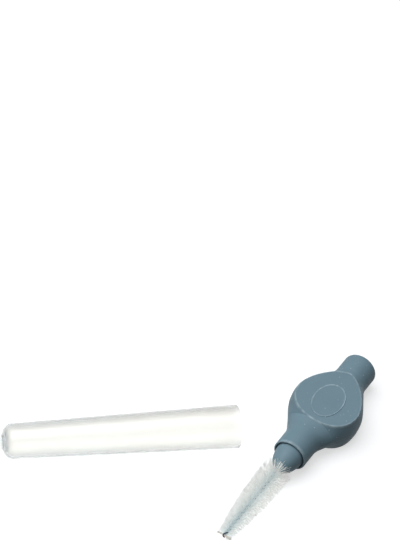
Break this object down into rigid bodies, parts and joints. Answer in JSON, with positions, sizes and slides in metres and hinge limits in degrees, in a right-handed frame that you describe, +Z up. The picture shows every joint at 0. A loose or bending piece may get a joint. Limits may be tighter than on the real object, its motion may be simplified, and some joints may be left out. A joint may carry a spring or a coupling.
{
  "type": "interdental brush",
  "caption": "Interdental brush: soft grip with a round thumb disc, hard nose, twisted wire with a tapered filament brush, and a loose clear tapered cover.",
  "frame": {"origin": "centre of the thumb disc's lower face, on the floor", "axes": "+X along the brush's axis towards its tail, so the wire points to -X; +Z up through the thumb disc; the floor is Z = 0"},
  "size_m": [0.0647, 0.0558, 0.0088],
  "materials": {
    "soft_grip": "satin",
    "hard_core": "satin",
    "coated_wire": "glossy",
    "filaments": "satin",
    "clear_cover": "translucent"
  },
  "bodies": {
    "brush": {"grip": "soft_grip", "core": "hard_core", "twisted_wire": "coated_wire", "bristles": "filaments"},
    "cover": {"cap": "clear_cover"}
  },
  "joints": [
    {"name": "cap_slide", "type": "slide", "parent": "brush", "child": "cover", "axis": [-0.682, 0.7314, 0], "range_m": [0, 0.06]}
  ]
}
